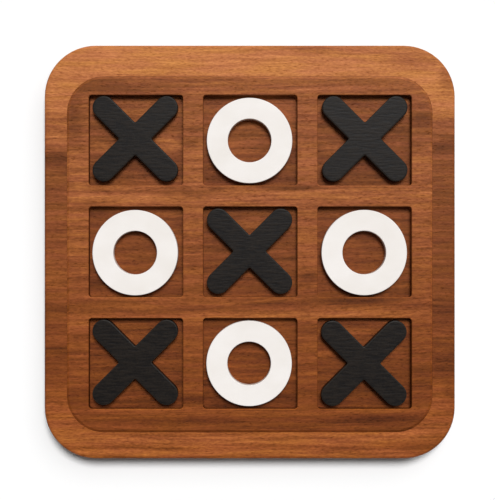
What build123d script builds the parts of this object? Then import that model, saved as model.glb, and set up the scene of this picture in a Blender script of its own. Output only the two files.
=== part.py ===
from build123d import *
import os

# Tic-tac-toe board of solid wood. A grid panel is let into the top of the board, its nine windows
# are the pockets, and a cross or a ring lies loose in each of them.
# Millimetres, +Z up. The origin is on the surface that the board stands on, under the middle of
# the board. +X is the right-hand side and +Y the back.

# Game pieces
piece_span = 50.0  # a cross or ring, left to right and front to back
cross_arm_width = 13.3
cross_notch_radius = 0.8  # small round where two arms meet
cross_edge_bevel = 0.6
ring_hole_diameter = 25.5
ring_edge_bevel = 0.4
piece_stand_up = 0.6  # height of the pieces above the panel

# Pockets
pocket_play_x = 2.6  # gap between a piece and the pocket wall, left and right
pocket_play_y = 1.55  # the same gap, front and back
pocket_corner_radius = 1.8

# Grid panel
panel_thickness = 6.4  # also the depth of the pockets
panel_stand_up = 0.4  # height of the panel above the board around it
panel_gap = 0.1  # glue line between the panel and the wall of its recess
panel_corner_radius = 21.5
panel_rim_slope = 1.2  # width of the gentle slope round the outer edge of its top
panel_rim_drop = 0.35  # height of that slope
window_edge_bevel = 0.3
bar_width_x = 11.8  # between neighbouring columns of pockets
bar_width_y = 12.3  # between neighbouring rows
rail_left = 12.7  # panel left of the pockets
rail_right = 12.1
rail_back = 10.8
rail_front = 13.6

# Board
border_side = 13.4  # board left and right of the panel
border_back = 18.4
border_front = 15.7
board_corner_radius = 30.0
board_edge_radius = 1.8
floor_thickness = 10.0  # wood left under the recess

# Rubber feet
foot_diameter = 12.0
foot_tip_diameter = 10.4
foot_height = 2.5
foot_edge_bevel = 0.4
foot_inset = 30.0  # from each side of the board to the middle of the foot

# Three pockets each way, counted from the middle one: left and right, or front and back
steps = (-1, 0, 1)

# Plan of the pockets, the panel and the board
pocket_x = piece_span + 2 * pocket_play_x
pocket_y = piece_span + 2 * pocket_play_y
pitch_x = pocket_x + bar_width_x
pitch_y = pocket_y + bar_width_y
grid_x = len(steps) * pitch_x - bar_width_x
grid_y = len(steps) * pitch_y - bar_width_y
panel_x = grid_x + rail_left + rail_right
panel_y = grid_y + rail_back + rail_front
board_x = panel_x + 2 * border_side
board_y = panel_y + border_back + border_front
panel_mid_y = (border_front - border_back) / 2
grid_mid_x = (rail_left - rail_right) / 2
grid_mid_y = panel_mid_y + (rail_front - rail_back) / 2

# Heights
recess_depth = panel_thickness - panel_stand_up
board_thickness = floor_thickness + recess_depth
piece_thickness = panel_thickness + piece_stand_up
board_bottom_z = foot_height
recess_floor_z = board_bottom_z + floor_thickness

# Name, steps to the right and to the back, and how far the piece lies to the right of and behind
# the middle of its pocket, as shares of the play there.
crosses = (
    ("x_back_left", -1, 1, -0.15, 0.6),
    ("x_back_right", 1, 1, 0.05, 0.6),
    ("x_center", 0, 0, -0.15, 0.3),
    ("x_front_left", -1, -1, -0.15, 0.5),
    ("x_front_right", 1, -1, -0.15, 0.15),
)
rings = (
    ("o_back", 0, 1, -0.15, -0.1),
    ("o_left", -1, 0, -0.15, -0.28),
    ("o_right", 1, 0, -0.1, -0.23),
    ("o_front", 0, -1, -0.26, 0.08),
)


def plate(width, depth, corner_radius, thickness):
    """Flat plate with round corners, its underside at z = 0."""
    return extrude(RectangleRounded(width, depth, corner_radius), amount=thickness)


def top_rims(solid):
    """Every edge of the flat top face."""
    return solid.faces().sort_by(Axis.Z)[-1].edges()


def bottom_rims(solid):
    """Every edge of the flat bottom face."""
    return solid.faces().sort_by(Axis.Z)[0].edges()


def pocket_place(step_x, step_y):
    """Middle of a pocket in the plan, so many steps from the middle one."""
    return grid_mid_x + step_x * pitch_x, grid_mid_y + step_y * pitch_y


def base_board():
    """One slab with a flat-bottomed recess for the grid panel."""
    slab = plate(board_x, board_y, board_corner_radius, board_thickness)
    slab = fillet(top_rims(slab) + bottom_rims(slab), board_edge_radius)
    recess = plate(
        panel_x + 2 * panel_gap,
        panel_y + 2 * panel_gap,
        panel_corner_radius + panel_gap,
        recess_depth,
    )
    slab -= Pos(0, panel_mid_y, floor_thickness) * recess
    return Pos(0, 0, board_bottom_z) * slab


def grid_panel():
    """Plate with a window for each pocket, lying on the floor of the recess."""
    panel = Pos(0, panel_mid_y, 0) * plate(panel_x, panel_y, panel_corner_radius, panel_thickness)
    top = panel.faces().sort_by(Axis.Z)[-1]
    panel = chamfer(top_rims(panel), panel_rim_slope, panel_rim_drop, reference=top)
    window = plate(pocket_x, pocket_y, pocket_corner_radius, panel_thickness)
    for step_x in steps:
        for step_y in steps:
            x, y = pocket_place(step_x, step_y)
            panel -= Pos(x, y, 0) * window
    windows = panel.faces().sort_by(Axis.Z)[-1].inner_wires()
    panel = chamfer(windows.edges(), window_edge_bevel)
    return Pos(0, 0, recess_floor_z) * panel


def flat_piece(outline, edge_bevel):
    """Game piece of one thickness, its edges broken on both faces."""
    piece = extrude(outline, amount=piece_thickness)
    return chamfer(top_rims(piece) + bottom_rims(piece), edge_bevel)


def cross_piece():
    """Two crossing arms with fully round ends, cut as one flat piece."""
    arm_tip_offset = (piece_span - cross_arm_width) / 2
    arm_length = 2 * arm_tip_offset * 2**0.5
    arm = SlotCenterToCenter(arm_length, cross_arm_width)
    outline = Rot(0, 0, 45) * arm + Rot(0, 0, -45) * arm
    notches = outline.vertices().sort_by_distance((0, 0, 0))[:4]
    return flat_piece(fillet(notches, cross_notch_radius), cross_edge_bevel)


def ring_piece():
    """Flat ring with a round hole."""
    return flat_piece(Circle(piece_span / 2) - Circle(ring_hole_diameter / 2), ring_edge_bevel)


def foot():
    """Stick-on rubber foot, wider where it meets the board."""
    cone = Pos(0, 0, foot_height / 2) * Cone(foot_tip_diameter / 2, foot_diameter / 2, foot_height)
    return chamfer(bottom_rims(cone), foot_edge_bevel)


def set_in_pocket(piece, step_x, step_y, right_share, back_share):
    """Lay a piece on the floor of its pocket."""
    x, y = pocket_place(step_x, step_y)
    x += right_share * pocket_play_x
    y += back_share * pocket_play_y
    return Pos(x, y, recess_floor_z) * piece


nodes = {"base_board": base_board(), "grid_panel": grid_panel()}
for name, *place in crosses:
    nodes[name] = set_in_pocket(cross_piece(), *place)
for name, *place in rings:
    nodes[name] = set_in_pocket(ring_piece(), *place)

foot_x = board_x / 2 - foot_inset
foot_y = board_y / 2 - foot_inset
for end, y in (("front", -foot_y), ("back", foot_y)):
    for side, x in (("left", -foot_x), ("right", foot_x)):
        nodes[f"foot_{end}_{side}"] = Pos(x, y, 0) * foot()

os.makedirs("parts", exist_ok=True)
for name, solid in nodes.items():
    export_step(solid, f"parts/{name}.step")
    size = solid.bounding_box().size
    print(f"{name}: {size.X:.1f} x {size.Y:.1f} x {size.Z:.1f}, {solid.volume / 1000:.2f} cm3")
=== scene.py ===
import math

import bpy
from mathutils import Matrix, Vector


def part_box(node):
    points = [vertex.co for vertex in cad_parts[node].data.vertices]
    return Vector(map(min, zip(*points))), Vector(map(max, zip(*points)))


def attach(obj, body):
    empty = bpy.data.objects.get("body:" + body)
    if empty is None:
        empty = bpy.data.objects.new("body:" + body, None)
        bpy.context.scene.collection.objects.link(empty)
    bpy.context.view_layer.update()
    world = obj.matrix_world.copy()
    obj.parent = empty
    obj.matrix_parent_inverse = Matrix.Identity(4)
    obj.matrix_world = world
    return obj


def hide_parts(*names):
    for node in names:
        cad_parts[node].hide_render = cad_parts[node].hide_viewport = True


# A wooden tic-tac-toe board seen from straight above, on a white studio floor. Metres, in the frame
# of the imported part: +Z up, +X to the right-hand side and +Y to the back of the board.

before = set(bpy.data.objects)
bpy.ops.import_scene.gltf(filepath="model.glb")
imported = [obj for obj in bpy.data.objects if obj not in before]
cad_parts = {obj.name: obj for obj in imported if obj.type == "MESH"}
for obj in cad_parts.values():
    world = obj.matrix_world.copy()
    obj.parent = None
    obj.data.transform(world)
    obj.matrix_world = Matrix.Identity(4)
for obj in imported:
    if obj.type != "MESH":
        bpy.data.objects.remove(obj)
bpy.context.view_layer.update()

MM = 0.001

CROSSES = ("x_back_left", "x_back_right", "x_center", "x_front_left", "x_front_right")
RINGS = ("o_back", "o_left", "o_right", "o_front")
FEET = ("foot_front_left", "foot_front_right", "foot_back_left", "foot_back_right")

# Game pieces
ARM_WIDTH = 13.3 * MM
NOTCH_RADIUS = 0.8 * MM
RING_HOLE_RADIUS = 12.75 * MM
CROSS_ARRIS = (0.8 * MM, 0.4 * MM)  # width and height of the rounded edges
RING_ARRIS = (0.35 * MM, 0.35 * MM)
ARRIS_STEPS = 8
FLAT_MARGIN = 0.15 * MM  # narrow flat row next to an arris, for smooth shading
CAP_STEPS = 28
NOTCH_STEPS = 6
RING_STEPS = 144

# Camera
CAMERA_PLACE = (-1.3 * MM, 1.2 * MM, 753.5 * MM)
LENS = 90.3
SENSOR = 36.0

# Light. A direction points towards its lamp, and a share is of the light on the top of the board.
KEY_FROM = (0.10, 0.37, 1.0)  # high up, behind the board and a little to its right
KEY_SHARE = 0.71
KEY_SPREAD = math.radians(17)
SOFT_FROM = (0.36, 0.60, 1.0)
SOFT_SHARE = 0.26
SOFT_SPREAD = math.radians(65)
FILL_SHARE = 0.03

# Studio floor
FLOOR_HALF_WIDTH = 30.0
FLOOR_ALBEDO = 0.8  # share of the light that it throws back on the board
FLOOR_SEEN = 1.03  # how white the camera sees it


def rgb(red, green, blue):
    """Display colour from 0 to 255 as linear values with alpha."""
    values = []
    for channel in (red, green, blue):
        c = channel / 255
        values.append(c / 12.92 if c <= 0.04045 else ((c + 0.055) / 1.055) ** 2.4)
    return (*values, 1.0)


# Meshes

def arc(centre_x, centre_y, radius, start, end, steps):
    """Points on an arc, both ends among them. Angles are in degrees, and end may be below start."""
    points = []
    for i in range(steps + 1):
        angle = math.radians(start + (end - start) * i / steps)
        points.append((centre_x + radius * math.cos(angle), centre_y + radius * math.sin(angle)))
    return points


def cross_outline(span, inset):
    """Outline of two crossed arms with round ends, drawn in by inset."""
    half_width = ARM_WIDTH / 2
    tip_reach = (span / 2 - half_width) * math.sqrt(2)  # to the middle of an arm's round end
    notch_reach = (half_width + NOTCH_RADIUS) * math.sqrt(2)  # to the middle of a notch's round
    points = []
    for turn in (45, 135, 225, 315):
        along = math.radians(turn)
        tip = (tip_reach * math.cos(along), tip_reach * math.sin(along))
        points += arc(*tip, half_width - inset, turn - 90, turn + 90, CAP_STEPS)
        between = math.radians(turn + 45)
        notch = (notch_reach * math.cos(between), notch_reach * math.sin(between))
        points += arc(*notch, NOTCH_RADIUS + inset, turn + 270, turn + 180, NOTCH_STEPS)
    return points


def circle(radius):
    """Points on a whole circle."""
    return arc(0, 0, radius, 0, 360, RING_STEPS)[:-1]


def side_profile(bottom, top, arris):
    """Inset and height of each row up the side of a piece, from flat face to flat face."""
    width, drop = arris
    quarter = [(width + FLAT_MARGIN, 0.0)]
    for i in range(ARRIS_STEPS + 1):
        angle = math.pi / 2 * i / ARRIS_STEPS
        quarter.append((width * (1 - math.sin(angle)), drop * (1 - math.cos(angle))))
    lower = [(inset, bottom + rise) for inset, rise in quarter]
    upper = [(inset, top - rise) for inset, rise in reversed(quarter)]
    return lower + upper


def joined_rows(name, rows, closed, centre):
    """Mesh of quads between rows of points. Open ends get a fan round the centre of the piece."""
    count = len(rows[0])
    points = [point for row in rows for point in row]
    faces = []
    row_pairs = [(i, (i + 1) % len(rows)) for i in range(len(rows) if closed else len(rows) - 1)]
    for low, high in row_pairs:
        for i in range(count):
            j = (i + 1) % count
            faces.append((low * count + i, low * count + j, high * count + j, high * count + i))
    if not closed:
        for first, turned in ((0, True), ((len(rows) - 1) * count, False)):
            middle = len(points)
            points.append((*centre, points[first][2]))
            for i in range(count):
                a, b = first + i, first + (i + 1) % count
                faces.append((b, a, middle) if turned else (a, b, middle))
    mesh = bpy.data.meshes.new(name)
    mesh.from_pydata(points, [], faces)
    mesh.validate()
    mesh.shade_smooth()
    piece = bpy.data.objects.new(name, mesh)
    bpy.context.scene.collection.objects.link(piece)
    return piece


def placed(outline, centre, height):
    """Outline points moved to a centre and a height."""
    return [(x + centre[0], y + centre[1], height) for x, y in outline]


def plan(node):
    """Middle of a node from above, and its width."""
    low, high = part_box(node)
    return ((low.x + high.x) / 2, (low.y + high.y) / 2), high.x - low.x


def profile_of(node, arris):
    """Side profile of a piece as high as a node, where the node lies."""
    low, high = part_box(node)
    return side_profile(low.z, high.z, arris)


def stand_for(piece, node):
    """Let the piece move with the body of a CAD node and show in its place."""
    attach(piece, node)
    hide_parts(node)


def cross_piece(node):
    """One cross with rounded arrises, where the CAD cross lies."""
    centre, span = plan(node)
    profile = profile_of(node, CROSS_ARRIS)
    rows = [placed(cross_outline(span, inset), centre, height) for inset, height in profile]
    piece = joined_rows(f"{node}_cross", rows, False, centre)
    stand_for(piece, node)
    return piece


def ring_piece(node):
    """One ring with rounded arrises, where the CAD ring lies."""
    centre, span = plan(node)
    profile = profile_of(node, RING_ARRIS)
    rows = [placed(circle(span / 2 - inset), centre, height) for inset, height in profile]
    for inset, height in reversed(profile):
        rows.append(placed(circle(RING_HOLE_RADIUS + inset), centre, height))
    piece = joined_rows(f"{node}_ring", rows, True, centre)
    stand_for(piece, node)
    return piece


# Materials

MIDDLE = 0.5  # of a raw noise and of a colour ramp


class Shader:
    """A new material's nodes. Each short call adds nodes and gives back their output socket."""

    def __init__(self, name):
        self.material = bpy.data.materials.new(name)
        self.material.use_nodes = True
        self.tree = self.material.node_tree
        self.surface = self.tree.nodes["Principled BSDF"]

    def add(self, kind, inputs=None, **settings):
        """Add a node, then set its properties and its inputs, which are values or sockets."""
        node = self.tree.nodes.new(kind)
        for key, value in settings.items():
            setattr(node, key, value)
        for key, value in (inputs or {}).items():
            self.plug(node.inputs[key], value)
        return node

    def plug(self, socket, value):
        if isinstance(value, bpy.types.NodeSocket):
            self.tree.links.new(value, socket)
        else:
            socket.default_value = value

    def set_surface(self, name, value):
        """Set an input of the surface, such as its roughness."""
        self.plug(self.surface.inputs[name], value)

    def roughen(self, roughness, noise):
        """Set the roughness, which is given in its middle and as its change by the noise."""
        middle, change = roughness
        self.set_surface("Roughness", self.total(middle, self.product(noise, change)))

    def math(self, operation, *values):
        inputs = dict(enumerate(values))
        return self.add("ShaderNodeMath", inputs, operation=operation).outputs[0]

    def product(self, first, second):
        return self.math("MULTIPLY", first, second)

    def total(self, *values):
        """Sum of any number of values."""
        result = values[0]
        for value in values[1:]:
            result = self.math("ADD", result, value)
        return result

    def plus(self, base, value, weight):
        """The base, and the value times its weight."""
        return self.math("MULTIPLY_ADD", value, weight, base)

    def inverse(self, share):
        """What the share leaves of 1."""
        return self.math("SUBTRACT", 1.0, share)

    def vector(self, operation, first, second):
        inputs = {0: first, 1: second}
        return self.add("ShaderNodeVectorMath", inputs, operation=operation).outputs[0]

    def split(self, vector):
        """The three parts of a vector."""
        return self.add("ShaderNodeSeparateXYZ", {0: vector}).outputs

    def joined(self, x, y, z=0.0):
        """Vector of three parts."""
        return self.add("ShaderNodeCombineXYZ", {0: x, 1: y, 2: z}).outputs[0]

    def place(self):
        """Place on the part, in millimetres."""
        point = self.add("ShaderNodeTexCoord").outputs["Object"]
        return self.vector("DIVIDE", point, (MM, MM, MM))

    def facing(self):
        """How far the surface faces the right, the back and up, each from -1 to 1."""
        return self.split(self.add("ShaderNodeNewGeometry").outputs["Normal"])

    def noise(self, point, kind, seed=0.0):
        """Noise from about -0.5 to 0.5. Its kind is size in millimetres, detail and own seed."""
        size, detail, own_seed = kind
        spot = self.vector("DIVIDE", point, size)
        spot = self.vector("ADD", spot, (seed + own_seed,) * 3)
        inputs = {"Vector": spot, "Scale": 1.0, "Detail": detail}
        return self.math("SUBTRACT", self.add("ShaderNodeTexNoise", inputs).outputs[0], MIDDLE)

    def smooth_step(self, value, value_range, result_range=(0.0, 1.0)):
        """Smooth step from the first result to the second over a range of the value."""
        inputs = {
            "Value": value,
            "From Min": value_range[0],
            "From Max": value_range[1],
            "To Min": result_range[0],
            "To Max": result_range[1],
        }
        return self.add("ShaderNodeMapRange", inputs, interpolation_type="SMOOTHSTEP").outputs[0]

    def edge(self, up, steep_range, flat_range):
        """1 on the bevels and rounds of a top, and 0 on its flat face and on walls."""
        off_flat = self.inverse(self.smooth_step(up, flat_range))
        return self.product(self.smooth_step(up, steep_range), off_flat)

    def ramp(self, value, stops, interpolation="LINEAR"):
        """Colour ramp through stops of (position, colour)."""
        node = self.add("ShaderNodeValToRGB", {0: value})
        ramp = node.color_ramp
        ramp.interpolation = interpolation
        while len(ramp.elements) < len(stops):
            ramp.elements.new(MIDDLE)
        for element, (position, colour) in zip(ramp.elements, stops):
            element.position = position
            element.color = colour
        return node.outputs["Color"]

    def mix(self, factor, first, second, blend_type="MIX"):
        """From the first colour, where the factor is 0, to the second, or to their blend."""
        inputs = {0: factor, 6: first, 7: second}
        settings = {"data_type": "RGBA", "blend_type": blend_type}
        return self.add("ShaderNodeMix", inputs, **settings).outputs[2]

    def bump(self, height, distance):
        """Surface relief. The height is a value and the distance is in metres."""
        inputs = {"Height": height, "Distance": distance}
        return self.add("ShaderNodeBump", inputs).outputs[0]


# The red of a tone, from 0 to 1, and the colour of the wood there
WOOD_COLOURS = (
    (0.15, rgb(40, 17, 5)),
    (0.30, rgb(76, 36, 14)),
    (0.40, rgb(102, 52, 26)),
    (0.49, rgb(125, 67, 35)),
    (0.58, rgb(149, 83, 48)),
    (0.68, rgb(173, 101, 59)),
    (0.82, rgb(209, 131, 80)),
    (0.92, rgb(235, 158, 100)),
)
SHEEN_GRADIENT_TINT = (1.0, 0.88, 0.62, 1.0)  # painted sheen: redder and darker towards the front, so the back looks paler, as under gloss from the lamp behind
GOLDEN_TINT = (1.0, 1.08, 0.80, 1.0)  # the wood is yellower in places

# Tone of the grain, from the front of the board to the back: millimetres from the middle, and tone
SLAB_BANDS = (
    (-118, 0.60),
    (-114.5, 0.58),
    (-111, 0.63),
    (-104, 0.60),
    (-90, 0.57),
    (-80, 0.53),
    (-70, 0.48),
    (-58, 0.46),
    (-48, 0.50),
    (-34, 0.47),
    (-22, 0.52),
    (10, 0.52),
    (50, 0.50),
    (62, 0.53),
    (70, 0.58),
    (78, 0.62),
    (85, 0.72),
    (121, 0.75),
)
# Below the top, and so on the pocket floors, the tones are darker than on the top
LOWER_BANDS = (
    (-121, 0.48),
    (-90, 0.41),
    (-62, 0.45),
    (-30, 0.47),
    (30, 0.47),
    (50, 0.45),
    (90, 0.53),
    (121, 0.56),
)
PANEL_BANDS = (
    (-104, 0.45),
    (-98, 0.48),
    (-92, 0.52),
    (-86, 0.46),
    (-81, 0.48),
    (-75, 0.52),
    (-68, 0.49),
    (-58, 0.52),
    (-47, 0.50),
    (-38, 0.575),
    (-31, 0.50),
    (-24, 0.54),
    (10, 0.57),
    (26, 0.58),
    (32, 0.63),
    (36, 0.57),
    (46, 0.61),
    (56, 0.60),
    (66, 0.55),
    (84, 0.57),
    (100, 0.57),
)
BAND_REACH = 125.0  # the ramps run this far from the middle, both ways

# Single streaks: how far the middle is to the right and to the back, half length, half width, and
# change of tone
SLAB_STREAKS = (
    (-114, 66, 22, 7, 0.08),
    (-114, 55, 20, 6, -0.12),
    (114, 72, 18, 6, -0.07),
    (114, 63, 20, 6, -0.13),
    (114, -66, 20, 10, -0.07),
    (-114, -58, 20, 6, -0.05),
    (114, -34, 18, 6, -0.04),
    (48, 119, 60, 6, -0.09),
    (98, 114, 30, 10, -0.08),
    (116, -10, 26, 90, -0.04),
    (106, -116, 26, 6, -0.06),
    (114, -95, 16, 5, -0.05),
    # painted shade on the rounded corner at the back right
    (116, 102, 8, 12, -0.12),
    (96, -112, 32, 3, -0.10),
    (113, -110, 12, 8, -0.06),
    (117, -82, 6, 10, -0.07),
    (112, -59, 9, 3, 0.08),
    (-100, 106, 26, 16, -0.02),
)
LOWER_STREAKS = (
    (-88, 61, 14, 6, 0.09),
    (-47, 64, 16, 8, 0.13),
    (2, 60.5, 22, 2.5, 0.07),
    (48, 60, 12, 5, 0.12),
    (-54, 41, 46, 4, 0.10),
    (-60, 86, 16, 4, 0.06),
    (34, 76, 20, 4, -0.08),
    (88, 72, 12, 6, -0.09),
    (2, 17, 16, 4, 0.08),
    (68, 8.5, 12, 3, -0.07),
    (-91, -20, 10, 8, -0.08),
    (50, -48.5, 40, 4, 0.10),
    (44, -61, 10, 5, 0.08),
    (-16, -90, 12, 4, -0.08),
)
PANEL_STREAKS = (
    (-78, 98, 54, 10, -0.10),
    (-66, 100, 18, 4, 0.06),
    (-103, 79, 8, 22, -0.08),
    (101, 78, 14, 9, -0.10),
    (98, 62, 8, 3.5, -0.08),
    (22, 29, 26, 2.5, 0.08),
    (-92, 28, 22, 3, -0.10),
    (-32, -9, 10, 6, -0.07),
    (24, 37.5, 26, 3.5, -0.14),
    (-38, 34.5, 40, 3, -0.08),
    (-78, 32, 40, 4, 0.04),
    (62, -28, 42, 3.5, -0.12),
    (12, -30, 30, 2.5, -0.08),
    (20, -36, 110, 4, 0.06),
    (40, -33, 60, 4, 0.04),
    (74, -98, 40, 4.5, -0.13),
    (-30, -99, 44, 3.5, -0.07),
    (-34, -85, 20, 4, -0.07),
    (101, -70, 14, 9, -0.07),
    (34, -15, 12, 5.5, -0.16),
    (37, -23.5, 9, 2.5, -0.06),
    (-35, 62, 9, 4, -0.09),
    (-100, 39, 10, 3, 0.08),
    (-31, 38, 12, 3, 0.08),
)
STREAK_CORE = 0.15  # share of a streak's reach that changes in full

# Noises of the wood: size along, across and through the grain in millimetres, detail, and what is
# added to the seed of the wood
SLOW_WAVES = ((260, 70, 70), 2, 0)
QUICK_WAVES = ((80, 14, 14), 2, 5)
FLAMES = ((90, 3.6, 3.6), 2, 11)
LINES = ((40, 1.7, 1.7), 2, 17)
FIBRES = ((2.6, 0.8, 0.8), 2, 23)
PORES = ((2.6, 0.6, 0.6), 1, 29)
THREADS = ((13, 1.0, 1.0), 2, 31)
GOLD = ((34, 4.5, 4.5), 2, 37)

# Course of the grain
SLOW_SWAY = 8.0  # millimetres sideways, by a whole wave
QUICK_SWAY = 4.5
STREAK_SWAY = 7.0  # the same for single streaks, by the quick waves
RING_LEAN = 0.8  # sideways for each millimetre down, because the growth rings lean
LAYER_STRETCH = 0.15  # share of the depth that counts for the long figure
TOP_FIGURE_DEPTHS = (5.5, 2.5)  # millimetres down, where the top's figure begins and is whole

# Change of tone by each part of the figure
FLAME_CHANGE = 0.24
LINE_CHANGE = 0.34
THREAD_CHANGE = 0.24
FIBRE_CHANGE = 0.34
PORE_CHANGE = -0.08
PORE_RANGE = (0.10, 0.24)  # of the noise, from no pore to a whole one
DARK_FINE_SHARE = 0.6  # what is left of lines, threads and fibres in dark wood
FINE_TONES = (0.49, 0.62)  # tones between which they get whole
CALM_LONG_LOSS = 0.5  # loss of flames and lines in the pale wood at the back
CALM_FINE_LOSS = 0.2  # and of threads and fibres

# Where the wood counts as pale, and as being at the back
PALE_TONES = (0.52, 0.74)
BACK_RANGE = (-105.0, 85.0)
PALE_SHEEN_TINT_LOSS = 0.75  # pale wood takes less of the painted sheen tint
GOLD_RANGE = (-0.18, 0.18)

# Rims and walls, by how far the surface faces up or sideways
RIM_STEEP = (0.2, 0.5)
RIM_FLAT = (0.97, 0.995)
RIM_LIGHT_CHANGE = 0.18  # painted light: a rim is paler where it faces the lamp at the back, darker where it faces the front
END_GRAIN_RANGE = (0.5, 0.95)
END_GRAIN_CHANGE = -0.06
# Painted shade: walls that face sideways are darker, as the pocket walls lie in shade
WALL_RANGE = (0.0, 0.3)
WALL_SHADE_CHANGE = -0.10

# Gloss and relief of the wood
WOOD_ROUGHNESS = 0.5
FIBRE_ROUGHNESS = 0.12
PORE_ROUGHNESS = 0.2
RIM_ROUGHNESS = -0.1
FIBRE_HEIGHT = 0.5  # in the relief
LINE_HEIGHT = 0.5
PORE_HEIGHT = -1.0
WOOD_RELIEF = 0.08 * MM
WOOD_SPECULAR = 0.07


def banded(s, across, bands):
    """Tone of the bands at a place across the grain."""
    reach = 2 * BAND_REACH
    share = s.math("DIVIDE", s.math("ADD", across, BAND_REACH), reach)
    stops = [((y + BAND_REACH) / reach, (tone, tone, tone, 1.0)) for y, tone in bands]
    return s.ramp(share, stops, "EASE")


def streaked(s, spot, streaks):
    """Sum of single soft streaks."""
    changes = []
    for right, back, half_length, half_width, change in streaks:
        away = s.vector("SUBTRACT", spot, (right, back, 0.0))
        away = s.vector("DIVIDE", away, (half_length, half_width, 1.0))
        far = s.add("ShaderNodeVectorMath", {0: away}, operation="LENGTH").outputs["Value"]
        changes.append(s.smooth_step(far, (STREAK_CORE, 1.0), (change, 0.0)))
    return s.total(*changes)


def toned(s, across, spot, figure):
    """Tone of the bands and the single streaks of a figure."""
    bands, streaks = figure
    return s.math("ADD", banded(s, across, bands), streaked(s, spot, streaks))


def wood(name, top_figure, lower_figure, tilt, rim_light_share, top, seed):
    """Oiled hardwood with its grain along X, and one figure near its top and another below it.

    Its bands run askew by tilt. The rim share paints light on its rim, paler facing the lamp at the
    back and darker facing the front. The height of its top is in millimetres.
    """
    s = Shader(name)
    point = s.place()
    x, y, z = s.split(point)
    slow = s.noise(point, SLOW_WAVES, seed)
    quick = s.noise(point, QUICK_WAVES, seed)
    waves = s.total(s.product(slow, SLOW_SWAY), s.product(quick, QUICK_SWAY))
    depth = s.math("SUBTRACT", top, z)
    across = s.total(y, s.product(x, tilt), s.product(depth, RING_LEAN), waves)
    grain = s.joined(x, across, z)
    layers = s.joined(x, across, s.plus(top, depth, -LAYER_STRETCH))
    near_top = s.smooth_step(z, [top - below for below in TOP_FIGURE_DEPTHS])
    spot = s.joined(x, s.plus(y, quick, STREAK_SWAY))
    lower_tone = toned(s, across, spot, lower_figure)
    top_tone = toned(s, across, spot, top_figure)
    band = s.mix(near_top, lower_tone, top_tone)

    flames = s.noise(layers, FLAMES, seed)
    lines = s.noise(layers, LINES, seed)
    threads = s.noise(layers, THREADS, seed)
    fibres = s.noise(grain, FIBRES, seed)
    pores = s.smooth_step(s.noise(grain, PORES, seed), PORE_RANGE)
    pale = s.smooth_step(band, PALE_TONES)
    back_share = s.smooth_step(y, BACK_RANGE)
    calm = s.product(pale, back_share)
    fine_share = s.smooth_step(band, FINE_TONES, (DARK_FINE_SHARE, 1.0))
    long_figure = s.plus(s.product(s.product(lines, LINE_CHANGE), fine_share), flames, FLAME_CHANGE)
    long_figure = s.product(long_figure, s.plus(1.0, calm, -CALM_LONG_LOSS))
    fine = s.math("ADD", s.product(threads, THREAD_CHANGE), s.product(fibres, FIBRE_CHANGE))
    fine = s.product(fine, fine_share)
    figure = s.plus(long_figure, fine, s.plus(1.0, calm, -CALM_FINE_LOSS))

    facing = s.facing()
    rim = s.edge(facing[2], RIM_STEEP, RIM_FLAT)
    # Painted light on the rims: paler towards the lamp at the back, darker towards the front
    rim_light = s.product(rim, s.product(facing[1], RIM_LIGHT_CHANGE))
    # Painted shade on the walls
    wall_shade = s.inverse(s.smooth_step(facing[2], WALL_RANGE))
    end_grain = s.smooth_step(s.math("ABSOLUTE", facing[0]), END_GRAIN_RANGE)
    tone = s.total(
        band,
        figure,
        s.product(pores, PORE_CHANGE),
        s.product(rim_light, rim_light_share),
        s.product(end_grain, END_GRAIN_CHANGE),
        s.product(wall_shade, WALL_SHADE_CHANGE),
    )
    colour = s.ramp(tone, WOOD_COLOURS)
    # Painted sheen: the front is tinted redder and darker than the back
    sheen_gradient_share = s.product(s.inverse(back_share), s.plus(1.0, pale, -PALE_SHEEN_TINT_LOSS))
    colour = s.mix(sheen_gradient_share, colour, SHEEN_GRADIENT_TINT, "MULTIPLY")
    golden = s.smooth_step(s.noise(grain, GOLD, seed), GOLD_RANGE)
    colour = s.mix(golden, colour, GOLDEN_TINT, "MULTIPLY")
    s.set_surface("Base Color", colour)

    fibre_roughness = s.product(fibres, FIBRE_ROUGHNESS)
    rough = s.total(WOOD_ROUGHNESS, fibre_roughness, s.product(pores, PORE_ROUGHNESS))
    s.set_surface("Roughness", s.plus(rough, rim, RIM_ROUGHNESS))
    relief = s.total(
        s.product(fibres, FIBRE_HEIGHT),
        s.product(lines, LINE_HEIGHT),
        s.product(pores, PORE_HEIGHT),
    )
    s.set_surface("Normal", s.bump(relief, WOOD_RELIEF))
    s.set_surface("Specular IOR Level", WOOD_SPECULAR)
    return s.material


# Charcoal stain on the crosses
STAIN_LINES = ((7, 1.2, 1.2), 3, 3.0)
STAIN_PATCHES = ((14, 6, 6), 2, 9.0)
STAIN_GRIT = ((1.0, 0.9, 0.9), 1, 15.0)
STAIN_CHANGES = (2.2, 0.6, 1.3)  # by the lines, the patches and the grit
STAIN_COLOURS = ((0.1, rgb(2, 0, 0)), (0.9, rgb(24, 18, 13)))
STAIN_ROUGHNESS = (0.40, 0.2)  # in the middle, and its change by a noise
STAIN_RELIEF = 0.09 * MM
ARRIS_STEEP = (0.1, 0.5)
ARRIS_FLAT = (0.96, 0.998)
STAIN_SPECULAR = 0.079
ARRIS_HIGHLIGHT_COLOUR = rgb(50, 46, 42)  # painted highlight on the arrises
ARRIS_HIGHLIGHT_SHARE = 0.4


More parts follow.
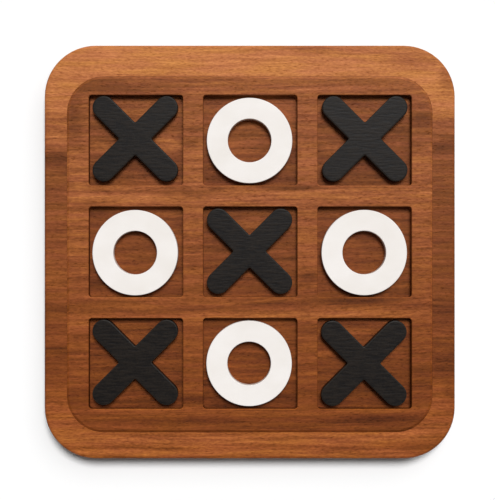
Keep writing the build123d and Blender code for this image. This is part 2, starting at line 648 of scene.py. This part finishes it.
def charcoal():
    """Open-grained wood stained charcoal, matte."""
    s = Shader("charcoal_stain")
    point = s.place()
    lines = s.noise(point, STAIN_LINES)
    parts = (lines, s.noise(point, STAIN_PATCHES), s.noise(point, STAIN_GRIT))
    tone = s.total(MIDDLE, *(s.product(*pair) for pair in zip(parts, STAIN_CHANGES)))
    arris = s.edge(s.facing()[2], ARRIS_STEEP, ARRIS_FLAT)
    # Painted highlight: the arrises are paler all round, in place of their gloss
    arris_highlight = s.product(arris, ARRIS_HIGHLIGHT_SHARE)
    s.set_surface("Base Color", s.mix(arris_highlight, s.ramp(tone, STAIN_COLOURS), ARRIS_HIGHLIGHT_COLOUR))
    s.roughen(STAIN_ROUGHNESS, lines)
    s.set_surface("Normal", s.bump(lines, STAIN_RELIEF))
    s.set_surface("Specular IOR Level", STAIN_SPECULAR)
    return s.material


# White paint on the rings
PAINT_PATCHES = ((22, 16, 16), 2, 4.0)
PAINT_SKIN = ((0.9, 0.7, 0.7), 2, 7.0)
PAINT_COLOURS = ((0.3, rgb(238, 232, 226)), (0.7, rgb(245, 240, 236)))
PAINT_ROUGHNESS = (0.45, 0.15)
PAINT_RELIEF = 0.02 * MM
PAINT_SPECULAR = 0.1


def white_paint():
    """Smooth warm-white paint."""
    s = Shader("ring_paint")
    point = s.place()
    patches = s.noise(point, PAINT_PATCHES)
    skin = s.noise(point, PAINT_SKIN)
    s.set_surface("Base Color", s.ramp(s.total(MIDDLE, patches), PAINT_COLOURS))
    s.roughen(PAINT_ROUGHNESS, patches)
    s.set_surface("Normal", s.bump(skin, PAINT_RELIEF))
    s.set_surface("Specular IOR Level", PAINT_SPECULAR)
    return s.material


# Rubber of the feet
RUBBER_GRIT = ((0.3, 0.3, 0.3), 2, 2.0)
RUBBER_COLOURS = ((0.2, rgb(22, 22, 22)), (0.8, rgb(34, 34, 33)))
RUBBER_ROUGHNESS = (0.75, 0.2)
RUBBER_RELIEF = 0.03 * MM


def rubber():
    """Matte black rubber."""
    s = Shader("foot_rubber")
    grit = s.noise(s.place(), RUBBER_GRIT)
    s.set_surface("Base Color", s.ramp(s.total(MIDDLE, grit), RUBBER_COLOURS))
    s.roughen(RUBBER_ROUGHNESS, grit)
    s.set_surface("Normal", s.bump(grit, RUBBER_RELIEF))
    return s.material


def dress(piece, material):
    """Give a piece one material all over."""
    piece.data.materials.clear()
    piece.data.materials.append(material)


# Studio

def seen(tree):
    """1 for what the camera sees, directly or in gloss and glass, and 0 for light on its way."""
    path = tree.nodes.new("ShaderNodeLightPath")
    result = path.outputs["Is Camera Ray"]
    for name in ("Is Glossy Ray", "Is Transmission Ray"):
        node = tree.nodes.new("ShaderNodeMath")
        node.operation = "MAXIMUM"
        tree.links.new(result, node.inputs[0])
        tree.links.new(path.outputs[name], node.inputs[1])
        result = node.outputs[0]
    return result


def grey(level):
    """Even grey of a linear level."""
    return (level, level, level, 1.0)


def studio_floor():
    """Wide white floor that the board stands on. It keeps the board's shadow."""
    w = FLOOR_HALF_WIDTH
    mesh = bpy.data.meshes.new("studio_floor")
    mesh.from_pydata([(-w, -w, 0), (w, -w, 0), (w, w, 0), (-w, w, 0)], [], [(0, 1, 2, 3)])
    floor = bpy.data.objects.new("studio_floor", mesh)
    bpy.context.scene.collection.objects.link(floor)
    s = Shader("studio_floor")
    colour = s.mix(seen(s.tree), grey(FLOOR_ALBEDO), grey(FLOOR_SEEN))
    diffuse = s.add("ShaderNodeBsdfDiffuse", {"Color": colour})
    s.plug(s.tree.nodes["Material Output"].inputs["Surface"], diffuse.outputs[0])
    dress(floor, s.material)


def soft_lamp(name, direction, share, spread):
    """Far lamp that gives the top of the board that share of its light."""
    towards = Vector(direction).normalized()
    lamp = bpy.data.lights.new(name, "SUN")
    lamp.energy = share * math.pi / towards.z
    lamp.angle = spread
    holder = bpy.data.objects.new(name, lamp)
    holder.rotation_euler = towards.to_track_quat("Z", "Y").to_euler()
    bpy.context.scene.collection.objects.link(holder)


def studio_light():
    """A soft lamp, a wider and lower one on the same side, and an even fill from all round."""
    soft_lamp("key_lamp", KEY_FROM, KEY_SHARE, KEY_SPREAD)
    soft_lamp("wide_lamp", SOFT_FROM, SOFT_SHARE, SOFT_SPREAD)
    world = bpy.data.worlds.new("studio")
    bpy.context.scene.world = world
    world.use_nodes = True
    tree = world.node_tree
    fill = tree.nodes["Background"]
    fill.inputs["Color"].default_value = grey(1.0)
    fill.inputs["Strength"].default_value = FILL_SHARE
    backdrop = tree.nodes.new("ShaderNodeBackground")
    backdrop.inputs["Color"].default_value = grey(1.0)
    mix = tree.nodes.new("ShaderNodeMixShader")
    tree.links.new(seen(tree), mix.inputs[0])
    tree.links.new(fill.outputs[0], mix.inputs[1])
    tree.links.new(backdrop.outputs[0], mix.inputs[2])
    tree.links.new(mix.outputs[0], tree.nodes["World Output"].inputs["Surface"])


def camera():
    """Straight down on the board, its back at the top of the picture."""
    data = bpy.data.cameras.new("camera")
    data.lens = LENS
    data.sensor_width = SENSOR
    eye = bpy.data.objects.new("camera", data)
    eye.location = CAMERA_PLACE
    bpy.context.scene.collection.objects.link(eye)
    bpy.context.scene.camera = eye


camera()
studio_floor()
studio_light()

slab_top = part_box("base_board")[1].z / MM
panel_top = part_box("grid_panel")[1].z / MM
slab_figure = (SLAB_BANDS, SLAB_STREAKS)
lower_figure = (LOWER_BANDS, LOWER_STREAKS)
panel_figure = (PANEL_BANDS, PANEL_STREAKS)
slab_wood = wood(
    "slab_wood", slab_figure, lower_figure, tilt=0.0, rim_light_share=0.0, top=slab_top, seed=14.0
)
panel_wood = wood(
    "panel_wood", panel_figure, panel_figure, tilt=-0.02, rim_light_share=1.0, top=panel_top, seed=41.0
)
dress(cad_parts["base_board"], slab_wood)
dress(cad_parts["grid_panel"], panel_wood)

stain = charcoal()
for node in CROSSES:
    dress(cross_piece(node), stain)
paint = white_paint()
for node in RINGS:
    dress(ring_piece(node), paint)
foot_material = rubber()
for node in FEET:
    dress(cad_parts[node], foot_material)

bpy.context.scene.view_settings.view_transform = "Standard"
